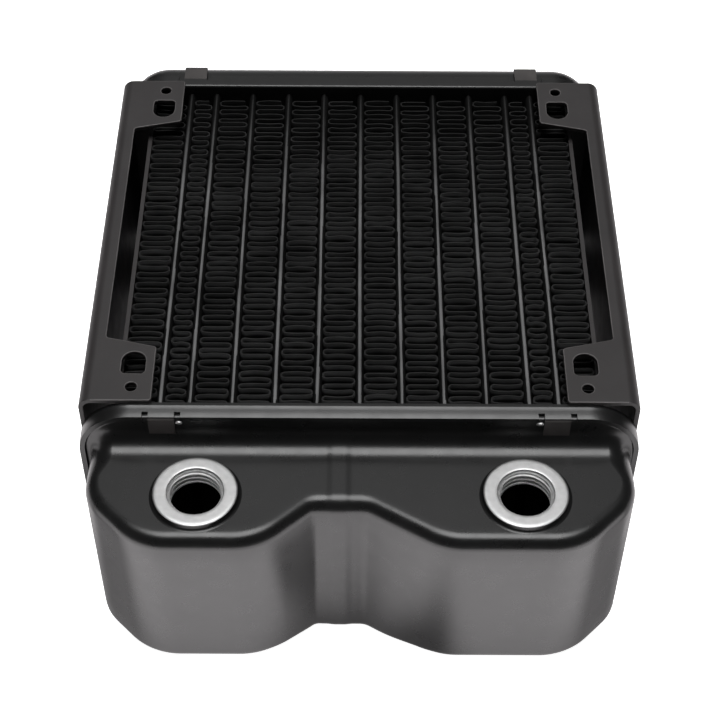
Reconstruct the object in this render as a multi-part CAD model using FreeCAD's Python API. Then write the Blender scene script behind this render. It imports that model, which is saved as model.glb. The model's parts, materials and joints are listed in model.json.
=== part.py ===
import FreeCAD, Part
import math
import os

# Liquid cooling radiator for one 120 mm fan. Millimetres, +Z up, lying flat.
# The origin is at the centre of the underside of the overall box.
# +Y points from the port tank towards the return tank.

V = FreeCAD.Vector

# Overall size
LENGTH = 158.0
WIDTH = 130.0
THICKNESS = 64.0
FRONT_Y = -LENGTH / 2
BACK_Y = LENGTH / 2
SHEET = 1.2                      # header pans and side plates
TANK_SHEET = 1.0                 # pressed tanks and internal plates

# Fan mount: the standard 120 mm fan pattern
FAN_PITCH = 105.0
FAN_HOLE_R = 1.35                # tapped 6-32
CORE_Y = 10.0                    # centre of the fan pattern and of the core

# Core
CORE_HALF_LENGTH = 56.6          # between the core faces of the two header pans
TUBE_PITCH = 9.82
NARROW_PITCH = 6.82              # one narrow fin column on each side
FULL_COLUMNS_A_SIDE = 4
TUBE_T = 2.0
TUBE_WALL = 0.3
TUBE_GAP = 1.5                   # between the upper and the lower row of tubes
TUBE_INSET = 4.5                 # tube edge below the fan plane
TUBE_STICK_OUT = 1.2             # tube end beyond the pan floor, inside the tank
SLOT_CLEARANCE = 0.03
CORE_SHEET_T = 1.0
FIN_T = 0.15
FIN_PITCH = 1.81                 # wall to wall, 14 walls an inch
FIN_INSET = 5.0                  # fin edge below the fan plane
FIN_END_GAP = 1.1                # last fin wall to the pan

# Header pans
PAN_INSET = 1.0                  # front pan's rim below the fan plane
BACK_PAN_INSET = 1.8
PAN_DEPTH = 4.2
PAN_CORNER_R = 12.5
PAN_BEND_R = 0.7
LIP_PROUD = 0.7                  # front pan's lip beyond the tank flange
PAN_FIT = 0.05                   # tank skirt inside the rim
TAB_X = 45.2
TAB_WIDTH = 6.0
TAB_T = 1.1
TAB_TOP_FOLD = 6.4
TAB_BOTTOM_FOLD = 3.0
TAB_BACK_REACH = 4.3
TAB_ROOT = 1.8                   # tab's hold on the pan rim
NOTCH_WIDTH = 1.4
NOTCH_DEPTH = 1.6

# Front tank
TANK_TOP_Z = 54.0
TANK_BOTTOM_Z = 5.7
TANK_HALF_WIDTH = 62.0
LOBE_CUT = 13.2                  # 45 degree cut at each outer lobe corner
WAIST_Y = -68.6
WAIST_LEFT_X = -10.2
WAIST_RIGHT_X = 1.4
LEFT_LOBE_X = -22.0              # where the left slope meets the lobe front
RIGHT_LOBE_X = 18.7              # where the gentler right slope meets the lobe front
LOBE_R = 14.0
WAIST_R = 3.0
TANK_EDGE_R = 3.5
SHELF_COVE_R = 5.0               # inside corner between shelf and flange
DIVIDER_X = -4.6
RIB_WIDTH = 4.4
RIB_PROUD = 0.45

# Ports
PORT_LEFT_X = -36.8
PORT_RIGHT_X = 37.5
PORT_Y = -65.9
PORT_RING_R = 9.7
PORT_SPIGOT_R = 7.6
PORT_BORE_R = 5.7225             # G1/4 minor radius
PORT_CHAMFER_R = 6.6
PORT_PROUD = 1.5
PORT_DEPTH = 3.0                 # bung below the shelf's upper face

# Return tank
RETURN_EDGE_R = 6.0

# Side plates
PLATE_OUTER_X = 64.5
PLATE_BEND_R = 3.0
FLANGE_INNER_X = 59.65
EAR_INNER_X = 47.6
EAR_TIP_LENGTH = 16.5
EAR_ROOT_LENGTH = 19.4
EAR_CORNER_R = 0.8
ACCESS_OFFSET = 45.1             # D-shaped hole, from the fan centre along Y
ACCESS_HALF_WIDTH = 2.8
ACCESS_HALF_LENGTH = 3.35
ACCESS_CORNER_R = 1.1

FLANGE_Y = CORE_Y - CORE_HALF_LENGTH - PAN_DEPTH + LIP_PROUD
SKIRT_END_Y = CORE_Y - CORE_HALF_LENGTH - SHEET
PAN_HALF_WIDTH = WIDTH / 2
RIM_INNER_R = PAN_CORNER_R - SHEET
COLUMN_XS = [TUBE_PITCH * i for i in range(FULL_COLUMNS_A_SIDE + 1)]
COLUMN_XS.append(COLUMN_XS[-1] + NARROW_PITCH)
TUBE_XS = [-x for x in reversed(COLUMN_XS[1:])] + COLUMN_XS
CORE_SHEET_X = COLUMN_XS[-1] + TUBE_PITCH
TUBE_HEIGHT = (THICKNESS - 2 * TUBE_INSET - TUBE_GAP) / 2


def box(x0, x1, y0, y1, z0, z1):
    return Part.makeBox(x1 - x0, y1 - y0, z1 - z0, V(x0, y0, z0))


def rounded_wire(corners):
    """Closed wire in the XY plane through (x, y, radius) corners, each rounded by an arc."""
    count = len(corners)
    arcs = []
    for i, (x, y, radius) in enumerate(corners):
        corner = V(x, y, 0)
        if radius == 0:
            arcs.append((corner, None, corner))
            continue
        before = V(*corners[i - 1][:2], 0) - corner
        after = V(*corners[(i + 1) % count][:2], 0) - corner
        before.normalize()
        after.normalize()
        half = before.getAngle(after) / 2
        bisector = before + after
        bisector.normalize()
        tangent = radius / math.tan(half)
        middle = corner + bisector * (radius / math.sin(half) - radius)
        arcs.append((corner + before * tangent, middle, corner + after * tangent))
    edges = []
    for i, (start, middle, end) in enumerate(arcs):
        if middle is not None:
            edges.append(Part.Arc(start, middle, end).toShape())
        following = arcs[(i + 1) % count][0]
        if (following - end).Length > 1e-6:
            edges.append(Part.makeLine(end, following))
    return Part.Wire(edges)


def extrude_z(wire, z0, z1):
    face = Part.Face(wire)
    face.translate(V(0, 0, z0))
    return face.extrude(V(0, 0, z1 - z0))


def rounded_slab(half_width, z0, z1, radius, y0, y1):
    """Rounded rectangle in the XZ plane, from y0 to y1."""
    wire = rounded_wire([(-half_width, z0, radius), (half_width, z0, radius),
                         (half_width, z1, radius), (-half_width, z1, radius)])
    slab = Part.Face(wire).extrude(V(0, 0, y1 - y0))
    slab.rotate(V(0, 0, 0), V(1, 0, 0), 90)
    slab.translate(V(0, y1, 0))
    return slab


def edges_in_plane_z(shape, z):
    return [e for e in shape.Edges if abs(e.BoundBox.ZMin - z) < 1e-5 and abs(e.BoundBox.ZMax - z) < 1e-5]


def edges_in_plane_y(shape, y):
    return [e for e in shape.Edges if abs(e.BoundBox.YMin - y) < 1e-5 and abs(e.BoundBox.YMax - y) < 1e-5]


def flat_tube(x, z0, z1, thickness, y0, y1):
    """Solid of a flat tube's outside: a stadium in the XZ plane with round narrow edges."""
    return rounded_slab(thickness / 2, z0, z1, thickness / 2 - 0.001, y0, y1).translated(V(x, 0, 0))


def tube_rows():
    lower = (TUBE_INSET, TUBE_INSET + TUBE_HEIGHT)
    upper = (THICKNESS - TUBE_INSET - TUBE_HEIGHT, THICKNESS - TUBE_INSET)
    return {"lower": lower, "upper": upper}


def coolant_tube(x, z0, z1):
    reach = CORE_HALF_LENGTH + SHEET + TUBE_STICK_OUT
    outside = flat_tube(x, z0, z1, TUBE_T, CORE_Y - reach, CORE_Y + reach)
    bore = flat_tube(x, z0 + TUBE_WALL, z1 - TUBE_WALL, TUBE_T - 2 * TUBE_WALL,
                     CORE_Y - reach - 1, CORE_Y + reach + 1)
    return outside.cut(bore)


def fin_strip(x0, x1):
    """Ribbon folded to and fro between two neighbouring tubes, with a round turn at each tube."""
    turn_r = FIN_PITCH / 2
    left = x0 + turn_r
    right = x1 - turn_r
    room = 2 * (CORE_HALF_LENGTH - FIN_END_GAP)
    walls = int(room / FIN_PITCH)
    first_y = CORE_Y - FIN_PITCH * (walls - 1) / 2

    def side(offset):
        """One face of the ribbon, offset along Y from the first wall's middle."""
        points = []
        for wall in range(walls):
            y = first_y + wall * FIN_PITCH
            goes_right = wall % 2 == 0
            shift = offset if goes_right else -offset
            ends = (left, right) if goes_right else (right, left)
            points.append((V(ends[0], y + shift, 0), V(ends[1], y + shift, 0), goes_right))
        return points

    def chain(points, radius):
        edges = []
        for i, (start, end, goes_right) in enumerate(points):
            edges.append(Part.makeLine(start, end))
            if i + 1 < len(points):
                following = points[i + 1][0]
                bulge = radius(goes_right) * (1 if goes_right else -1)
                middle = V(end.x + bulge, (end.y + following.y) / 2, 0)
                edges.append(Part.Arc(end, middle, following).toShape())
        return edges

    half = FIN_T / 2
    near = side(-half)
    far = side(half)
    near_edges = chain(near, lambda goes_right: turn_r + (half if goes_right else -half))
    far_edges = chain(far, lambda goes_right: turn_r - (half if goes_right else -half))
    cap_start = Part.makeLine(near[0][0], far[0][0])
    cap_end = Part.makeLine(near[-1][1], far[-1][1])
    wire = Part.Wire(Part.__sortEdges__(near_edges + far_edges + [cap_start, cap_end]))
    return extrude_z(wire, FIN_INSET, THICKNESS - FIN_INSET)


def header_pan(inset, fold_tabs):
    """Header pan with its core face at y = 0 and its rim towards -Y, its tabs folded down or straight."""
    z0 = inset
    z1 = THICKNESS - inset
    pan = rounded_slab(PAN_HALF_WIDTH, z0, z1, PAN_CORNER_R, -PAN_DEPTH, 0)
    pan = pan.makeFillet(PAN_BEND_R, edges_in_plane_y(pan, 0))
    pan = pan.cut(rounded_slab(PAN_HALF_WIDTH - SHEET, z0 + SHEET, z1 - SHEET, RIM_INNER_R,
                               -PAN_DEPTH - 1, -SHEET))
    for z_low, z_high in tube_rows().values():
        for x in TUBE_XS:
            grown = SLOT_CLEARANCE
            pan = pan.cut(flat_tube(x, z_low - grown, z_high + grown, TUBE_T + 2 * grown, -PAN_DEPTH, 1))
    for x in (-TAB_X, TAB_X):
        for upper in (True, False):
            pan = add_crimp_tab(pan, x, inset, upper, fold_tabs)
    return pan


def add_crimp_tab(pan, x, inset, upper, folded):
    """Adds one tab between two notches, folded down onto the tank flange or left straight."""
    x0 = x - TAB_WIDTH / 2
    x1 = x + TAB_WIDTH / 2
    outer = THICKNESS - inset if upper else inset
    inward = -1 if upper else 1
    for notch_x in (x0 - NOTCH_WIDTH, x1):
        z_pair = sorted((outer - inward, outer + inward * SHEET))
        pan = pan.cut(box(notch_x, notch_x + NOTCH_WIDTH, -PAN_DEPTH - 1, -PAN_DEPTH + NOTCH_DEPTH, *z_pair))
    tip_y = -PAN_DEPTH + LIP_PROUD - TAB_T if folded else -PAN_DEPTH - TAB_BACK_REACH
    z_pair = sorted((outer, outer + inward * TAB_T))
    tab = box(x0, x1, tip_y, -PAN_DEPTH + TAB_ROOT, *z_pair)
    if folded:
        fold = TAB_TOP_FOLD if upper else TAB_BOTTOM_FOLD
        z_pair = sorted((outer, outer + inward * fold))
        tab = tab.fuse(box(x0, x1, tip_y, tip_y + TAB_T, *z_pair)).removeSplitter()
    outer_edges = [e for e in edges_in_plane_z(tab, outer)
                   if abs(e.BoundBox.YMin - tip_y) < 1e-5 and e.BoundBox.YLength < 1e-5]
    tab = tab.makeFillet(TAB_T * 0.8, outer_edges)
    return pan.fuse(tab).removeSplitter()


def tank_outline():
    """Plan of the port tank's outside, running back past the flange."""
    cut = LOBE_CUT
    side = TANK_HALF_WIDTH
    return rounded_wire([
        (-side, FLANGE_Y, 0),
        (-side, FRONT_Y + cut, LOBE_R),
        (-side + cut, FRONT_Y, LOBE_R),
        (LEFT_LOBE_X, FRONT_Y, LOBE_R),
        (WAIST_LEFT_X, WAIST_Y, WAIST_R),
        (WAIST_RIGHT_X, WAIST_Y, WAIST_R),
        (RIGHT_LOBE_X, FRONT_Y, LOBE_R),
        (side - cut, FRONT_Y, LOBE_R),
        (side, FRONT_Y + cut, LOBE_R),
        (side, FLANGE_Y, 0)])


def tank_block(grow):
    """Filleted block of the port tank, grown outwards, or inwards where grow is negative."""
    face = Part.Face(tank_outline())
    if grow != 0:
        face = face.makeOffset2D(grow)
    face.translate(V(0, 0, TANK_BOTTOM_Z - grow))
    block = face.extrude(V(0, 0, TANK_TOP_Z - TANK_BOTTOM_Z + 2 * grow))
    rear_y = block.BoundBox.YMax
    rims = edges_in_plane_z(block, TANK_TOP_Z + grow) + edges_in_plane_z(block, TANK_BOTTOM_Z - grow)
    rims = [e for e in rims if e.CenterOfMass.y < rear_y - 1e-3]
    return block.makeFillet(TANK_EDGE_R + grow, rims)


def tank_cavity():
    """Space inside the port tank, the flange opening and the skirt."""
    cavity = tank_block(-TANK_SHEET)
    mouth = box(-TANK_HALF_WIDTH, TANK_HALF_WIDTH, FLANGE_Y - 2.5 * TANK_SHEET, FLANGE_Y - 1.5 * TANK_SHEET,
                0, THICKNESS).common(cavity)
    mouth_face = [f for f in mouth.Faces if abs(f.BoundBox.YMin - mouth.BoundBox.YMax) < 1e-6][0]
    cavity = cavity.fuse(mouth_face.extrude(V(0, 3.5 * TANK_SHEET, 0)))
    inset = SHEET + PAN_FIT + TANK_SHEET
    skirt_space = rounded_slab(PAN_HALF_WIDTH - inset, PAN_INSET + inset, THICKNESS - PAN_INSET - inset,
                               PAN_CORNER_R - inset, FLANGE_Y + TANK_SHEET, SKIRT_END_Y)
    return cavity.fuse(skirt_space)


def front_tank():
    block = tank_block(0)
    rib_box = box(DIVIDER_X - RIB_WIDTH / 2, DIVIDER_X + RIB_WIDTH / 2, FRONT_Y, FLANGE_Y, 0, THICKNESS)
    rib = tank_block(RIB_PROUD).common(rib_box)
    inset = SHEET + PAN_FIT
    flange = rounded_slab(PAN_HALF_WIDTH - inset, PAN_INSET + inset, THICKNESS - PAN_INSET - inset,
                          PAN_CORNER_R - inset, FLANGE_Y, SKIRT_END_Y)
    cove_end = TANK_HALF_WIDTH - TANK_EDGE_R
    cove = box(-cove_end, cove_end, FLANGE_Y - SHELF_COVE_R, FLANGE_Y, TANK_TOP_Z, TANK_TOP_Z + SHELF_COVE_R)
    cove = cove.cut(Part.makeCylinder(SHELF_COVE_R, 2 * cove_end,
                                      V(-cove_end, FLANGE_Y - SHELF_COVE_R, TANK_TOP_Z + SHELF_COVE_R),
                                      V(1, 0, 0)))
    tank = block.fuse([rib, flange, cove]).removeSplitter()
    tank = tank.cut(tank_cavity())
    for x in (PORT_LEFT_X, PORT_RIGHT_X):
        seat = V(x, PORT_Y, TANK_TOP_Z - 2 * TANK_SHEET)
        tank = tank.cut(Part.makeCylinder(PORT_SPIGOT_R, 3 * TANK_SHEET, seat))
    return tank


def tank_divider():
    half = TANK_SHEET / 2
    slab = box(DIVIDER_X - half, DIVIDER_X + half, FRONT_Y, 0, 0, THICKNESS)
    return tank_cavity().common(slab)


def port_bung(x):
    top = TANK_TOP_Z + PORT_PROUD
    bottom = TANK_TOP_Z - PORT_DEPTH
    ring = Part.makeCylinder(PORT_RING_R, PORT_PROUD, V(x, PORT_Y, TANK_TOP_Z))
    ring = ring.makeChamfer(0.3, edges_in_plane_z(ring, top))
    spigot = Part.makeCylinder(PORT_SPIGOT_R, PORT_DEPTH, V(x, PORT_Y, bottom))
    bore = Part.makeCylinder(PORT_BORE_R, top - bottom, V(x, PORT_Y, bottom))
    chamfer_h = PORT_CHAMFER_R - PORT_BORE_R
    chamfer = Part.makeCone(PORT_BORE_R, PORT_CHAMFER_R, chamfer_h, V(x, PORT_Y, top - chamfer_h))
    return ring.fuse(spigot).removeSplitter().cut(bore).cut(chamfer)


def back_tank():
    """Return tank: a deep-rounded dish whose open end sits in the back pan."""
    start = CORE_Y + CORE_HALF_LENGTH + SHEET

    def dish(inset, edge_r, y0, y1):
        low_z = BACK_PAN_INSET + inset
        solid = rounded_slab(PAN_HALF_WIDTH - inset, low_z, THICKNESS - low_z, PAN_CORNER_R - inset, y0, y1)
        return solid.makeFillet(edge_r, edges_in_plane_y(solid, y1))

    inset = SHEET + PAN_FIT
    outside = dish(inset, RETURN_EDGE_R, start, BACK_Y)
    inside = dish(inset + TANK_SHEET, RETURN_EDGE_R - TANK_SHEET, start - 1, BACK_Y - TANK_SHEET)
    return outside.cut(inside)


def plate_plan():
    """Plan of the right side plate's top: flange, two ears, square ends."""
    near = CORE_Y - CORE_HALF_LENGTH
    far = CORE_Y + CORE_HALF_LENGTH
    return rounded_wire([
        (PLATE_OUTER_X, near, 0),
        (PLATE_OUTER_X, far, 0),
        (EAR_INNER_X, far, EAR_CORNER_R),
        (EAR_INNER_X, far - EAR_TIP_LENGTH, EAR_CORNER_R),
        (FLANGE_INNER_X, far - EAR_ROOT_LENGTH, EAR_CORNER_R),
        (FLANGE_INNER_X, near + EAR_ROOT_LENGTH, EAR_CORNER_R),
        (EAR_INNER_X, near + EAR_TIP_LENGTH, EAR_CORNER_R),
        (EAR_INNER_X, near, EAR_CORNER_R)])


def access_hole(y_side):
    """D-shaped screwdriver hole, straight edge towards the end of the plate."""
    x0 = FAN_PITCH / 2 - ACCESS_HALF_WIDTH
    x1 = FAN_PITCH / 2 + ACCESS_HALF_WIDTH
    middle_y = CORE_Y + y_side * ACCESS_OFFSET
    flat_y = middle_y + y_side * ACCESS_HALF_LENGTH
    round_y = middle_y - y_side * ACCESS_HALF_LENGTH
    round_r = ACCESS_HALF_WIDTH - 0.001
    wire = rounded_wire([(x0, flat_y, ACCESS_CORNER_R), (x1, flat_y, ACCESS_CORNER_R),
                         (x1, round_y, round_r), (x0, round_y, round_r)])
    return extrude_z(wire, -1, THICKNESS + 1)


def side_plate(mirrored):
    near = CORE_Y - CORE_HALF_LENGTH
    far = CORE_Y + CORE_HALF_LENGTH
    channel = box(0, PLATE_OUTER_X, near, far, 0, THICKNESS)
    outer_edges = [e for e in channel.Edges
                   if e.BoundBox.XMin > PLATE_OUTER_X - 1e-5 and e.BoundBox.YLength > 1]
    channel = channel.makeFillet(PLATE_BEND_R, outer_edges)
    hollow = box(-1, PLATE_OUTER_X - SHEET, near - 1, far + 1, SHEET, THICKNESS - SHEET)
    inner_edges = [e for e in hollow.Edges
                   if e.BoundBox.XMin > PLATE_OUTER_X - SHEET - 1e-5 and e.BoundBox.YLength > 1]
    hollow = hollow.makeFillet(PLATE_BEND_R - SHEET, inner_edges)
    plate = channel.cut(hollow).common(extrude_z(plate_plan(), -1, THICKNESS + 1))
    for y_side in (-1, 1):
        screw = V(FAN_PITCH / 2, CORE_Y + y_side * FAN_PITCH / 2, -1)
        plate = plate.cut(Part.makeCylinder(FAN_HOLE_R, THICKNESS + 2, screw))
        plate = plate.cut(access_hole(y_side))
    if mirrored:
        plate = plate.mirror(V(0, 0, 0), V(1, 0, 0))
    return plate


def core_sheet(x):
    half = CORE_SHEET_T / 2
    return box(x - half, x + half, CORE_Y - CORE_HALF_LENGTH, CORE_Y + CORE_HALF_LENGTH,
               TUBE_INSET, THICKNESS - TUBE_INSET)


def fin_columns():
    """Left and right limits of each space between neighbouring tubes or core sheets."""
    walls = [(-CORE_SHEET_X, CORE_SHEET_T)] + [(x, TUBE_T) for x in TUBE_XS] + [(CORE_SHEET_X, CORE_SHEET_T)]
    for (left_x, left_t), (right_x, right_t) in zip(walls, walls[1:]):
        yield left_x + left_t / 2 + FIN_T / 2, right_x - right_t / 2 - FIN_T / 2


def place_front(pan):
    return pan.translated(V(0, CORE_Y - CORE_HALF_LENGTH, 0))


def place_back(pan):
    turned = pan.mirror(V(0, 0, 0), V(0, 1, 0))
    return turned.translated(V(0, CORE_Y + CORE_HALF_LENGTH, 0))


def build_nodes():
    nodes = {
        "front_tank": front_tank(),
        "tank_divider": tank_divider(),
        "left_port_bung": port_bung(PORT_LEFT_X),
        "right_port_bung": port_bung(PORT_RIGHT_X),
        "front_header": place_front(header_pan(PAN_INSET, fold_tabs=True)),
        "back_header": place_back(header_pan(BACK_PAN_INSET, fold_tabs=False)),
        "back_tank": back_tank(),
        "left_side_plate": side_plate(mirrored=True),
        "right_side_plate": side_plate(mirrored=False),
        "left_core_sheet": core_sheet(-CORE_SHEET_X),
        "right_core_sheet": core_sheet(CORE_SHEET_X),
    }
    for row, (z_low, z_high) in tube_rows().items():
        for i, x in enumerate(TUBE_XS, start=1):
            nodes[f"tube_{row}_{i:02d}"] = coolant_tube(x, z_low, z_high)
    for i, (x0, x1) in enumerate(fin_columns(), start=1):
        nodes[f"fin_strip_{i:02d}"] = fin_strip(x0, x1)
    return nodes


os.makedirs("parts", exist_ok=True)
for name, shape in build_nodes().items():
    solids = shape.Solids
    assert len(solids) == 1 and shape.isValid(), f"{name}: {len(solids)} solids, valid {shape.isValid()}"
    solids[0].exportStep(f"parts/{name}.step")
    limits = shape.BoundBox
    print(f"{name}: {limits.XMin:.2f}..{limits.XMax:.2f} {limits.YMin:.2f}..{limits.YMax:.2f} "
          f"{limits.ZMin:.2f}..{limits.ZMax:.2f} faces {len(shape.Faces)} volume {shape.Volume:.0f}")
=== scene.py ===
import json
import math
import random

import bmesh
import bpy
from mathutils import Matrix, Vector


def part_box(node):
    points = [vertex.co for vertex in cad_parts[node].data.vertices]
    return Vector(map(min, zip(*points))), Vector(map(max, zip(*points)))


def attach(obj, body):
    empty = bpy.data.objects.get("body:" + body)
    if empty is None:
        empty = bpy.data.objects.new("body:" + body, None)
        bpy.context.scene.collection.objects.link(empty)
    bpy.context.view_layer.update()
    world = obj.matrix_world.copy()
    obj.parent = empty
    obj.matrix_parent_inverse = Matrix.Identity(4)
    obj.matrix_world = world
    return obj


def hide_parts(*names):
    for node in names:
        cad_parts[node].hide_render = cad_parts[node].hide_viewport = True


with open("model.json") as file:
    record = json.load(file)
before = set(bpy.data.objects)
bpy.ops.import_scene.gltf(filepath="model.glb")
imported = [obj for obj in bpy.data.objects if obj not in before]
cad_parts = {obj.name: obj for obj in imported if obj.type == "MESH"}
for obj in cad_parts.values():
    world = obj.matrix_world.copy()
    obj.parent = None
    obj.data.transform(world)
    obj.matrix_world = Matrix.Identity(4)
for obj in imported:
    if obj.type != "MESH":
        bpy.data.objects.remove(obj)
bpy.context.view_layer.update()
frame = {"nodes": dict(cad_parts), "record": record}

MM = 0.001
BODY = "root"
QUARTER = math.pi / 2        # a quarter turn
SMOOTH_ANGLE = math.radians(32)
FLAT_ANGLE = math.radians(0.6)
SHARP_ANGLE = math.radians(40)

# Sizes are in millimetres, and only those that the frame doesn't name. Pans and side plates:
PAN_SHEET = 1.2
HALF_THICKNESS = 32.0        # of the radiator, so also the height of its middle plane
PAN_DEPTH = 4.2
PAN_CORNER_R = 12.5
PAN_HALF_WIDTH = 65.0
PAN_BEND_R = 0.7
RIM_BEND = PAN_BEND_R * 0.6  # the rims start to lean this far beyond the core
RIM_OVER_CORE = 0.6          # the front rim's rear edge moves this far over the core
RIM_EDGE_DEPTH = 0.35        # how far in front of the core that rear edge starts
FRONT_RIM_SLOPES = (0.26, 0.24, 0.14, 0.13, 0.15, 0.18, 0.23, 0.28)
FRONT_RIM_STEP = -0.47
FRONT_RIM_SHORTER = 0.6
BACK_RIM_SLOPES = (-0.03, 0.0, 0.03, 0.0)
BACK_RIM_STEP = 0.9
TAB_X = 45.2                 # from the middle to a crimp tab's own middle
TAB_WIDTH = 6.0
TAB_MARGIN = 0.05
FRONT_TAB_START = 0.4        # a tab's own paint starts this far from its pan's outer face
BACK_TAB_START = 2.0
EAR_EDGE_SLOPES = (0.2, 0.97)  # a rounded cut edge's normals point this much up or down
EAR_EDGE_INSET = 4.0         # from the plate's outer face
FRONT_PAN_EDGE = 0.25        # width of the rounding along each piece's sheet edges
BACK_PAN_EDGE = 0.3
RETURN_TANK_EDGE = 0.15
PLATE_EDGE = 0.22

# Port tank
TANK_SHEET = 1.0
TANK_HALF_WIDTH = 62.9
TANK_LEFT_HALF = 62.25       # the pressing sits slightly to the right
TANK_TOP = 54.0
TANK_BOTTOM = 5.7
LIP_PROUD = 0.7              # front pan's lip beyond the tank flange
LOBE_CUT = 12.7              # 45 degree cut of the lobes' outer corners
SIDE_CORNER_R = 12.0
FRONT_CORNER_R = 17.0
LEFT_LOBE_X = -22.0          # the lobes' fronts end here, beside the waist
RIGHT_LOBE_X = 18.7
WAIST_DEPTH = 10.4           # waist behind the lobe fronts
WAIST_LEFT_X = -10.2         # ends of the waist's flat
WAIST_RIGHT_X = 1.4
WAIST_SHOULDER_R = 18.0
WAIST_LEFT_R = 2.4
WAIST_RIGHT_R = 4.0
WAIST_LEAN = 1.8             # the waist stands this much further forward at the bottom
WAIST_LEAN_SIDES = 14.0      # the lean starts over this width beside each lobe
WAIST_LEAN_REAR = (3.0, 10.0)  # and this far before the flange, over this length
EDGE_R = 3.3                 # rounding between shelf and walls
NECK_R = 5.5                 # the same rounding where the tank meets its flange
COVE_R = 5.0                 # inside corner between shelf and flange
COVE_SIDE_R = 0.8
COVE_BOTTOM_R = 2.4
COVE_EASE = 1.5              # above 1 the cove grows late, away from the walls
FLANGE_BEND_R = 0.8
RIB_X = -4.6                 # pressed rib over the shelf, waist and underside
RIB_HALF = 2.2
RIB_SOFT = 2.2               # width of each of its soft flanks
RIB_PROUD = 0.18
ARC_STEP = 0.9               # mesh steps along the outline: on arcs, on straights and beside the rib
LINE_STEP = 1.2
RIB_STEP = 0.3
RIB_ZONE = 3.0
FILLET_STEPS = 8
WALL_ROWS = 8
DECK_ROWS = 14
COVE_STEPS = 8
BEND_STEPS = 4
RAY_LENGTH = 200.0           # search along a ray for the flange's outline
RAY_HALVINGS = 50

# Port bungs. The ring's turned profile is given as radii and as heights over the shelf or from the top face
RING_R = 9.7
SPIGOT_R = 7.6
SPIGOT_GAP = 0.02
RING_FOOT = ((0.8, -SPIGOT_GAP), (0.7, 0.03), (0.4, 0.12), (0.17, 0.3), (0.04, 0.6))       # beyond RING_R
RING_SHOULDER = ((0.0, -0.5), (-0.09, -0.2), (-0.28, -0.06), (-0.55, 0.0), (-1.2, 0.0))    # beyond RING_R
RING_FACE = ((8.0, 0.0), (7.2, 0.0), (6.62, 0.0), (6.5, -0.04), (6.42, -0.14))
RING_SEGMENTS = 96
MOUTH_R = 6.4
MOUTH_DEPTH = 0.45
MOUTH_LENGTH = 0.9           # the mouth narrows to the thread over this length
THREAD_MINOR_R = 5.7225
THREAD_DEPTH = 0.4
THREAD_PITCH = 1.337
THREAD_FLAT = 0.075          # part of the wave's height that roots and crests lose
THREAD_RUNOUT = 0.5
THREAD_ROWS = 54
CUTTER_DEPTH = 8.0
PAINTED_FROM_R = RING_R - 0.06
PAINTED_BELOW = TANK_TOP + 0.1
FACE_FROM_R = 7.0
BORE_R = 6.6                 # inside this radius and below this depth the metal is rougher
BORE_DEPTH = 0.2
DROP_HALF = (0.75, 0.4, 0.45)  # half sizes of a drop of solder
DROP_PLACE = (1.1, 0.2, 1.6)   # beside a front tab's inner edge, behind the pan's front, below its top

# Tubes and fin strips
TUBE_EDGE = 1.7              # height of a tube's rounded edge
TUBE_EDGE_EASE = 1.25        # above 1 the edge is narrower at its crest
TUBE_EDGE_STEPS = 8
TUBE_STATIONS = 70
TUBE_WAVES = 4               # sine waves that sway the crest, and as many that dip it
TUBE_SWAY = (0.03, 0.07)
TUBE_SWAY_LENGTH = (8, 22)
TUBE_DIP = (0.02, 0.05)
TUBE_DIP_LENGTH = (6, 18)
WAVE_START = 6.3             # up to about a whole turn
CREST_HALF = 0.34
FIN_T = 0.3                  # foil with its paint
FIN_PITCH = 1.81             # from one wall of the fold to the next
FIN_LEAN = 0.16              # most that a fold's edges lean
FIN_BOW = 0.3                # most that its wall bows
FIN_SHIFT = 0.1              # most that it stands out of step
FIN_SAG = 0.22               # most that its edges sink
FIN_EDGE_ROWS = (0.8, 2.2)
FIN_EDGE_REACH = 2.5         # leaning and sinking end this far from the edge
FIN_WALL_STEPS = 6
FIN_TURN_STEPS = 6

# Seeds of the random draws, to which a piece's number is added
DROP_SEED = 900
FIN_SEED = 100
TUBE_SEEDS = {"lower": 400, "upper": 450}

# Materials: the noise's scales, in waves to a metre, and the colours of the painted highlight and painted
# shadow on tube crests, and of the painted light and painted shade on the foil
NOISE_MIDDLE = (0.3, 0.7)    # the part of the noise's range that is spread over the paint's
MOTTLE_SCALE = 90
GLOSS_SCALE = 260
PEEL_SCALE = 160
CLOUD_SCALE = 700
STAIN_SCALE = 120
# painted highlight on the tube crests, and painted shadow of the back pan over them
CREST_HIGHLIGHT_COLOUR = (0.11, 0.11, 0.111)
CREST_BACK_PAN_SHADOW = (0.006, 0.006, 0.006, 1)
CREST_SHADOW_FADE = (24.0, 58.0)    # the painted highlight gives way to painted shadow of the back pan between these distances behind the origin
# painted shade deep in the folds, and painted light on the walls near the core's faces
FIN_SHADE_COLOUR = (0.004, 0.004, 0.004, 1)
FIN_LIT_COLOUR = (0.14, 0.14, 0.142)
FIN_BACK_SHADOW_REACH = (22.0, 62.0) # painted shadow of the back pan: the painted light falls to FIN_LIGHT_AT_BACK between these
FIN_LIGHT_AT_BACK = 0.2
FIN_LIGHT_REACH = (25.3, 26.5)  # distances from the middle plane between which painted shade deep in the core turns to painted light near its faces

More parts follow.
